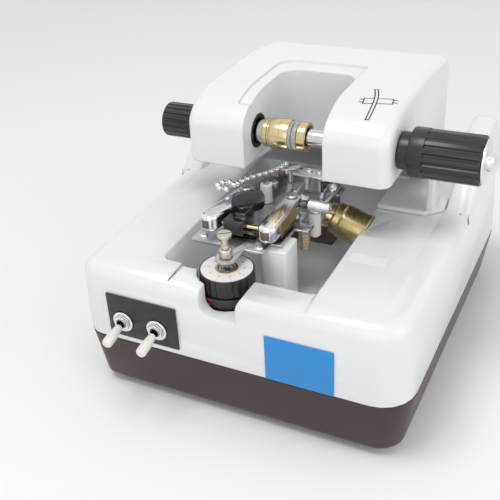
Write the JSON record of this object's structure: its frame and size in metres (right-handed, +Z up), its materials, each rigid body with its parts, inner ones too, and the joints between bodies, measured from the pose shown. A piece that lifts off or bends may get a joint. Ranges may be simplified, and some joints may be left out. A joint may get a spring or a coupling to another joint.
{
  "type": "lens groover",
  "caption": "Bench lens groover: white moulded body on a dark base, tilting head with lens chucks, grooving wheel, guide arms, depth dial and toggle switches.",
  "frame": {"origin": "middle of the footprint box, on the table", "axes": "+Z up, +Y from the front towards the back, +X to the machine's right as seen from the front"},
  "size_m": [0.2144, 0.2558, 0.165],
  "materials": {
    "white_moulding": "gloss moulded plastic",
    "dark_moulding": "dark brown moulded plastic",
    "black_plastic": "black moulded plastic",
    "feet_rubber": "matte rubber",
    "ivory_sleeve": "soft sleeve",
    "white_nylon": "turned nylon",
    "blue_label": "smooth coated label",
    "white_scale": "printed disc",
    "brass": "turned",
    "chrome": "polished plate",
    "ground_steel": "ground",
    "dark_steel": "blackened",
    "silver_plate": "satin",
    "circuit_board": "lacquered board",
    "clear_pad": "clear soft pad",
    "diamond_grit": "bonded grit"
  },
  "bodies": {
    "machine_body": {"top_cover": "white_moulding", "base_tray": "dark_moulding", "rubber_foot_1": "feet_rubber", "rubber_foot_2": "feet_rubber", "rubber_foot_3": "feet_rubber", "rubber_foot_4": "feet_rubber", "rest_bracket": "white_moulding", "switch_panel": "black_plastic", "front_label": "blue_label", "lens_switch_body": "black_plastic", "wheel_switch_body": "black_plastic", "lens_switch_nut": "chrome", "wheel_switch_nut": "chrome", "dial_barrel": "black_plastic", "carriage_stand": "ground_steel", "spindle_housing": "brass", "wheel_motor": "dark_steel", "drive_belt": "feet_rubber", "transformer": "dark_steel", "control_board": "circuit_board", "mains_inlet": "black_plastic", "hinge_rod": "dark_steel"},
    "lens_switch": {"lens_switch_lever": "ivory_sleeve"},
    "wheel_switch": {"wheel_switch_lever": "ivory_sleeve"},
    "dial": {"depth_dial": "black_plastic", "dial_scale": "white_scale"},
    "dial_pin": {"lift_pin": "ground_steel"},
    "carriage": {"guide_plate": "ground_steel", "depth_screw": "chrome", "lock_nut": "chrome", "roller_strip": "chrome", "wheel_guard": "chrome", "chain_anchor": "silver_plate", "bead_chain": "chrome"},
    "right_arm": {"right_guide_arm": "chrome", "thumb_spring": "black_plastic"},
    "left_arm": {"left_guide_arm": "chrome", "cross_rod": "brass"},
    "arm_screw": {"thumb_screw": "silver_plate"},
    "clip": {"sponge_clip": "black_plastic"},
    "left_roller": {"left_nylon_roller": "white_nylon"},
    "right_roller": {"right_nylon_roller": "white_nylon"},
    "wheel": {"grooving_wheel": "diamond_grit", "spindle_shaft": "ground_steel", "spindle_collar": "brass"},
    "drive_pulley": {"motor_pulley": "ground_steel"},
    "head": {"head_shell": "white_moulding", "head_chassis": "ground_steel", "lens_motor": "dark_steel"},
    "left_chuck": {"left_clamp_shaft": "ground_steel", "left_brass_chuck": "brass", "left_lens_pad": "clear_pad", "left_knob": "black_plastic"},
    "pinion": {"lens_pinion": "ground_steel"},
    "carrier": {"clamp_carrier": "dark_steel"},
    "right_chuck": {"right_lens_pad": "clear_pad", "right_brass_chuck": "brass", "right_clamp_shaft": "ground_steel"},
    "right_knob": {"clamp_knob": "black_plastic", "clamp_screw": "silver_plate"}
  },
  "joints": [
    {"name": "head_tilt", "type": "hinge", "parent": "machine_body", "child": "head", "pos_m": [-0.0072, 0.09377, 0.1], "axis": [-1, 0, 0], "range_deg": [-4, 55]},
    {"name": "lens_spin", "type": "hinge", "parent": "head", "child": "left_chuck", "pos_m": [-0.0262, -0.00623, 0.14], "axis": [1, 0, 0], "continuous": true},
    {"name": "pinion_spin", "type": "hinge", "parent": "head", "child": "pinion", "pos_m": [-0.0437, 0.00728, 0.1478], "axis": [1, 0, 0], "continuous": true},
    {"name": "clamp_knob_turn", "type": "hinge", "parent": "head", "child": "right_knob", "pos_m": [0.0556, -0.00623, 0.14], "axis": [1, 0, 0], "range_deg": [0, 1800]},
    {"name": "clamp_slide", "type": "slide", "parent": "head", "child": "carrier", "axis": [1, 0, 0], "range_m": [0, 0.0101]},
    {"name": "right_chuck_spin", "type": "hinge", "parent": "carrier", "child": "right_chuck", "pos_m": [0.0318, -0.00623, 0.14], "axis": [1, 0, 0], "continuous": true},
    {"name": "dial_turn", "type": "hinge", "parent": "machine_body", "child": "dial", "pos_m": [-0.0192, -0.08073, 0.0783], "axis": [0, 0, 1], "range_deg": [0, 300]},
    {"name": "lift_pin_rise", "type": "slide", "parent": "machine_body", "child": "dial_pin", "axis": [0, 0, 1], "range_m": [0, 0.0009]},
    {"name": "carriage_tilt", "type": "hinge", "parent": "machine_body", "child": "carriage", "pos_m": [-0.0072, 0.02877, 0.0962], "axis": [-1, 0, 0], "range_deg": [0, 0.5]},
    {"name": "right_arm_swing", "type": "hinge", "parent": "carriage", "child": "right_arm", "pos_m": [-0.0024, -0.02523, 0.1], "axis": [0, 0, 1], "range_deg": [0, 10]},
    {"name": "left_arm_swing", "type": "hinge", "parent": "carriage", "child": "left_arm", "pos_m": [-0.0322, -0.02523, 0.1], "axis": [0, 0, -1], "range_deg": [0, 10]},
    {"name": "clip_swing", "type": "hinge", "parent": "left_arm", "child": "clip", "pos_m": [-0.0246, -0.05573, 0.103], "axis": [1, 0, 0], "range_deg": [-5, 15]},
    {"name": "thumb_screw_turn", "type": "hinge", "parent": "right_arm", "child": "arm_screw", "pos_m": [0.0213, -0.02523, 0.1062], "axis": [1, 0, 0], "range_deg": [-180, 180]},
    {"name": "left_roller_spin", "type": "hinge", "parent": "carriage", "child": "left_roller", "pos_m": [-0.024, -0.01473, 0.0973], "axis": [0, 0, 1], "continuous": true},
    {"name": "right_roller_spin", "type": "hinge", "parent": "carriage", "child": "right_roller", "pos_m": [0.0096, -0.02003, 0.0836], "axis": [0, 0, 1], "continuous": true},
    {"name": "wheel_spin", "type": "hinge", "parent": "machine_body", "child": "wheel", "pos_m": [-0.0072, -0.00623, 0.099], "axis": [0.9397, 0, -0.342], "continuous": true},
    {"name": "drive_pulley_spin", "type": "hinge", "parent": "machine_body", "child": "drive_pulley", "pos_m": [-0.0072, 0.02977, 0.099], "axis": [0.9397, 0, -0.342], "continuous": true},
    {"name": "lens_switch_flip", "type": "hinge", "parent": "machine_body", "child": "lens_switch", "pos_m": [-0.076, -0.10663, 0.0555], "axis": [-1, 0, 0], "range_deg": [0, 18]},
    {"name": "wheel_switch_flip", "type": "hinge", "parent": "machine_body", "child": "wheel_switch", "pos_m": [-0.0532, -0.10663, 0.0555], "axis": [-1, 0, 0], "range_deg": [0, 18]}
  ],
  "couplings": [
    {"joint": "pinion_spin", "follows": "lens_spin", "ratio": -2},
    {"joint": "right_chuck_spin", "follows": "lens_spin", "ratio": 1},
    {"joint": "clamp_slide", "follows": "clamp_knob_turn", "m_per_rad": 0.00031831},
    {"joint": "lift_pin_rise", "follows": "dial_turn", "m_per_rad": 0.00015915},
    {"joint": "carriage_tilt", "follows": "dial_turn", "ratio": 0.0014535},
    {"joint": "drive_pulley_spin", "follows": "wheel_spin", "ratio": 0.63768}
  ]
}
